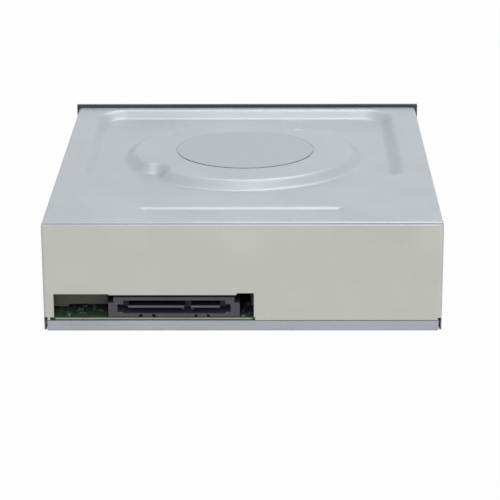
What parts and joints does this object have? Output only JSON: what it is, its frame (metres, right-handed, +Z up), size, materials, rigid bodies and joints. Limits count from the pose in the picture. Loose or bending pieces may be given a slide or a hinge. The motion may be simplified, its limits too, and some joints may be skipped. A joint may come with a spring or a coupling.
{
  "type": "internal disc writer",
  "caption": "Half-height internal disc writer with an embossed steel case, a sliding tray, a lifting traverse with spindle and pickup, and a combined rear plug.",
  "frame": {"origin": "centre of the underside, under the middle of the whole drive with its bezel", "axes": "+Z up, -Y to the front bezel and the way the tray slides out, +Y to the rear panel, +X to the side of the rear plug and the eject button"},
  "size_m": [0.148, 0.17, 0.0424],
  "materials": {
    "zinc_coated_steel": "satin zinc-coated sheet",
    "seal_foil": "thin satin foil",
    "black_abs": "fine grain, near black",
    "dark_grey_abs": "moulded, dark grey",
    "natural_acetal": "smooth, natural",
    "white_nylon": "smooth, off-white",
    "bright_steel": "bright, ground",
    "zinc_screw": "zinc-plated",
    "black_rubber": "matt",
    "green_board": "green solder resist",
    "chip_black": "moulded chip body",
    "clear_acrylic": "clear light guide, shown solid",
    "copper_winding": "lacquered winding",
    "dark_ferrite": "sintered magnet",
    "cast_zinc": "die-cast, matt",
    "coated_glass": "coated lens",
    "ribbon_film": "flexible film"
  },
  "bodies": {
    "case": {"top_cover": "zinc_coated_steel", "foil_seal": "seal_foil", "bottom_cover": "zinc_coated_steel", "cover_screw_1": "zinc_screw", "cover_screw_2": "zinc_screw", "cover_screw_3": "zinc_screw", "cover_screw_4": "zinc_screw", "front_bezel": "black_abs", "light_guide": "clear_acrylic", "main_chassis": "dark_grey_abs", "loading_motor": "bright_steel", "drive_belt": "black_rubber", "clamp_bridge": "bright_steel", "main_board": "green_board", "sata_plug": "black_abs", "controller_chip": "chip_black", "driver_chip": "chip_black", "capacitor": "zinc_screw", "ribbon_socket": "white_nylon", "pickup_ribbon": "ribbon_film", "board_screw_1": "zinc_screw", "board_screw_2": "zinc_screw", "switch_board": "green_board", "eject_switch": "black_abs", "lamp": "white_nylon"},
    "tray": {"tray": "black_abs", "tray_front": "black_abs"},
    "traverse": {"lift_frame": "dark_grey_abs", "traverse_deck": "bright_steel", "damper_1": "black_rubber", "damper_2": "black_rubber", "damper_3": "black_rubber", "damper_4": "black_rubber", "damper_screw_1": "zinc_screw", "damper_screw_2": "zinc_screw", "damper_screw_3": "zinc_screw", "damper_screw_4": "zinc_screw", "spindle_plate": "bright_steel", "stator": "copper_winding", "guide_rod_left": "bright_steel", "guide_rod_right": "bright_steel", "feed_motor": "bright_steel", "feed_bearing": "black_abs"},
    "spindle": {"rotor": "bright_steel", "turntable": "black_abs", "grip_ring": "black_rubber", "centring_cone": "black_abs"},
    "pickup": {"pickup_body": "cast_zinc", "pickup_cover": "bright_steel", "feed_nut": "natural_acetal"},
    "lens": {"lens_holder": "black_abs", "objective_lens": "coated_glass"},
    "clamper": {"clamper_hub": "black_abs", "clamper_magnet": "dark_ferrite"},
    "eject_button": {"eject_button": "black_abs"},
    "tray_gear": {"tray_gear": "natural_acetal"},
    "pulley_gear": {"pulley_gear": "natural_acetal"},
    "motor_pulley": {"motor_pulley": "natural_acetal"},
    "cam_slider": {"cam_slider": "dark_grey_abs"},
    "lead_screw": {"lead_screw": "bright_steel"}
  },
  "joints": [
    {"name": "tray_slide", "type": "slide", "parent": "case", "child": "tray", "axis": [0, -1, 0], "range_m": [0, 0.128]},
    {"name": "tray_gear_spin", "type": "hinge", "parent": "case", "child": "tray_gear", "pos_m": [0.045, -0.064, 0.014], "axis": [0, 0, 1], "continuous": true},
    {"name": "pulley_gear_spin", "type": "hinge", "parent": "case", "child": "pulley_gear", "pos_m": [0.0274, -0.064, 0.012], "axis": [0, 0, 1], "continuous": true},
    {"name": "motor_pulley_spin", "type": "hinge", "parent": "case", "child": "motor_pulley", "pos_m": [-0.006, -0.065, 0.0144], "axis": [0, 0, 1], "continuous": true},
    {"name": "traverse_lift", "type": "hinge", "parent": "case", "child": "traverse", "pos_m": [0, 0.066, 0.012], "axis": [-1, 0, 0], "range_deg": [0, 5.81]},
    {"name": "cam_slide", "type": "slide", "parent": "case", "child": "cam_slider", "axis": [1, 0, 0], "range_m": [0, 0.0141]},
    {"name": "spindle_spin", "type": "hinge", "parent": "traverse", "child": "spindle", "pos_m": [0, -0.01539, 0.01176], "axis": [0, -0.1012, 0.9949], "continuous": true},
    {"name": "pickup_feed", "type": "slide", "parent": "traverse", "child": "pickup", "axis": [0, 0.9949, 0.1012], "range_m": [0, 0.037]},
    {"name": "lead_screw_spin", "type": "hinge", "parent": "traverse", "child": "lead_screw", "pos_m": [-0.037, 0.01621, 0.00744], "axis": [0, 0.9949, 0.1012], "continuous": true},
    {"name": "lens_focus", "type": "slide", "parent": "pickup", "child": "lens", "axis": [0, -0.1012, 0.9949], "range_m": [-0.0004, 0.0004], "stiffness_N_per_m": 100},
    {"name": "clamper_spin", "type": "hinge", "parent": "case", "child": "clamper", "pos_m": [0, -0.015, 0.031], "axis": [0, 0, 1], "continuous": true},
    {"name": "eject_press", "type": "slide", "parent": "case", "child": "eject_button", "axis": [0, 1, 0], "range_m": [0, 0.0005], "stiffness_N_per_m": 800}
  ],
  "couplings": [
    {"joint": "tray_gear_spin", "follows": "tray_slide", "rad_per_m": -111.11},
    {"joint": "pulley_gear_spin", "follows": "tray_slide", "rad_per_m": 296.3},
    {"joint": "motor_pulley_spin", "follows": "tray_slide", "rad_per_m": 1481.5},
    {"joint": "cam_slide", "follows": "traverse_lift", "m_per_rad": 0.13796},
    {"joint": "lead_screw_spin", "follows": "pickup_feed", "rad_per_m": 2094.4}
  ]
}
